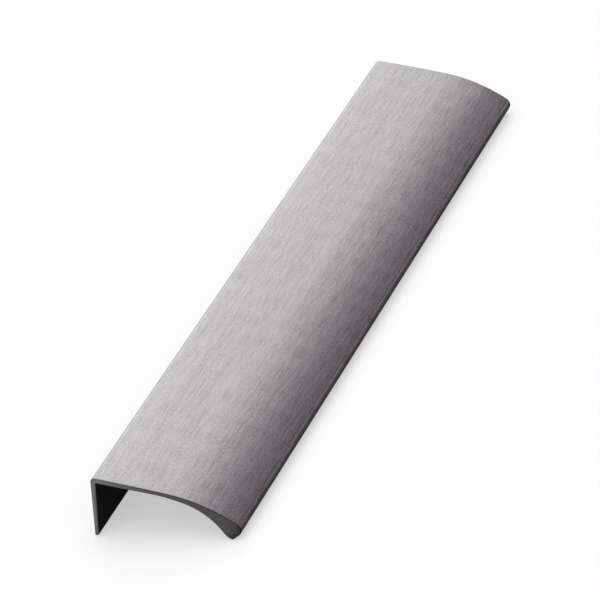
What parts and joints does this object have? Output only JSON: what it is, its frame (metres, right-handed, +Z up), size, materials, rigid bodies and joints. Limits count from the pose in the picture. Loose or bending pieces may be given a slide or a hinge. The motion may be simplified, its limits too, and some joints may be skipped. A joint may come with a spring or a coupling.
{
  "type": "edge pull",
  "caption": "Edge pull for a drawer front or door: a brushed aluminium extrusion with a screw flange behind and a curved finger nose in front.",
  "frame": {"origin": "middle of the foot of the piece's own box, on the floor that it stands on at rest", "axes": "+Y along the extrusion, +X from the flange to the nose, +Z up. At rest the section leans 11.02 degrees forward, so that the flange's foot and the nose's tip both touch the floor. When fitted, the flange stands upright against the back of the drawer front."},
  "size_m": [0.039, 0.2, 0.0165],
  "materials": {
    "pull": "brushed along its length and anodised dark grey, satin; plain saw-cut ends"
  },
  "bodies": {
    "root": {"pull": "pull"}
  },
  "joints": []
}
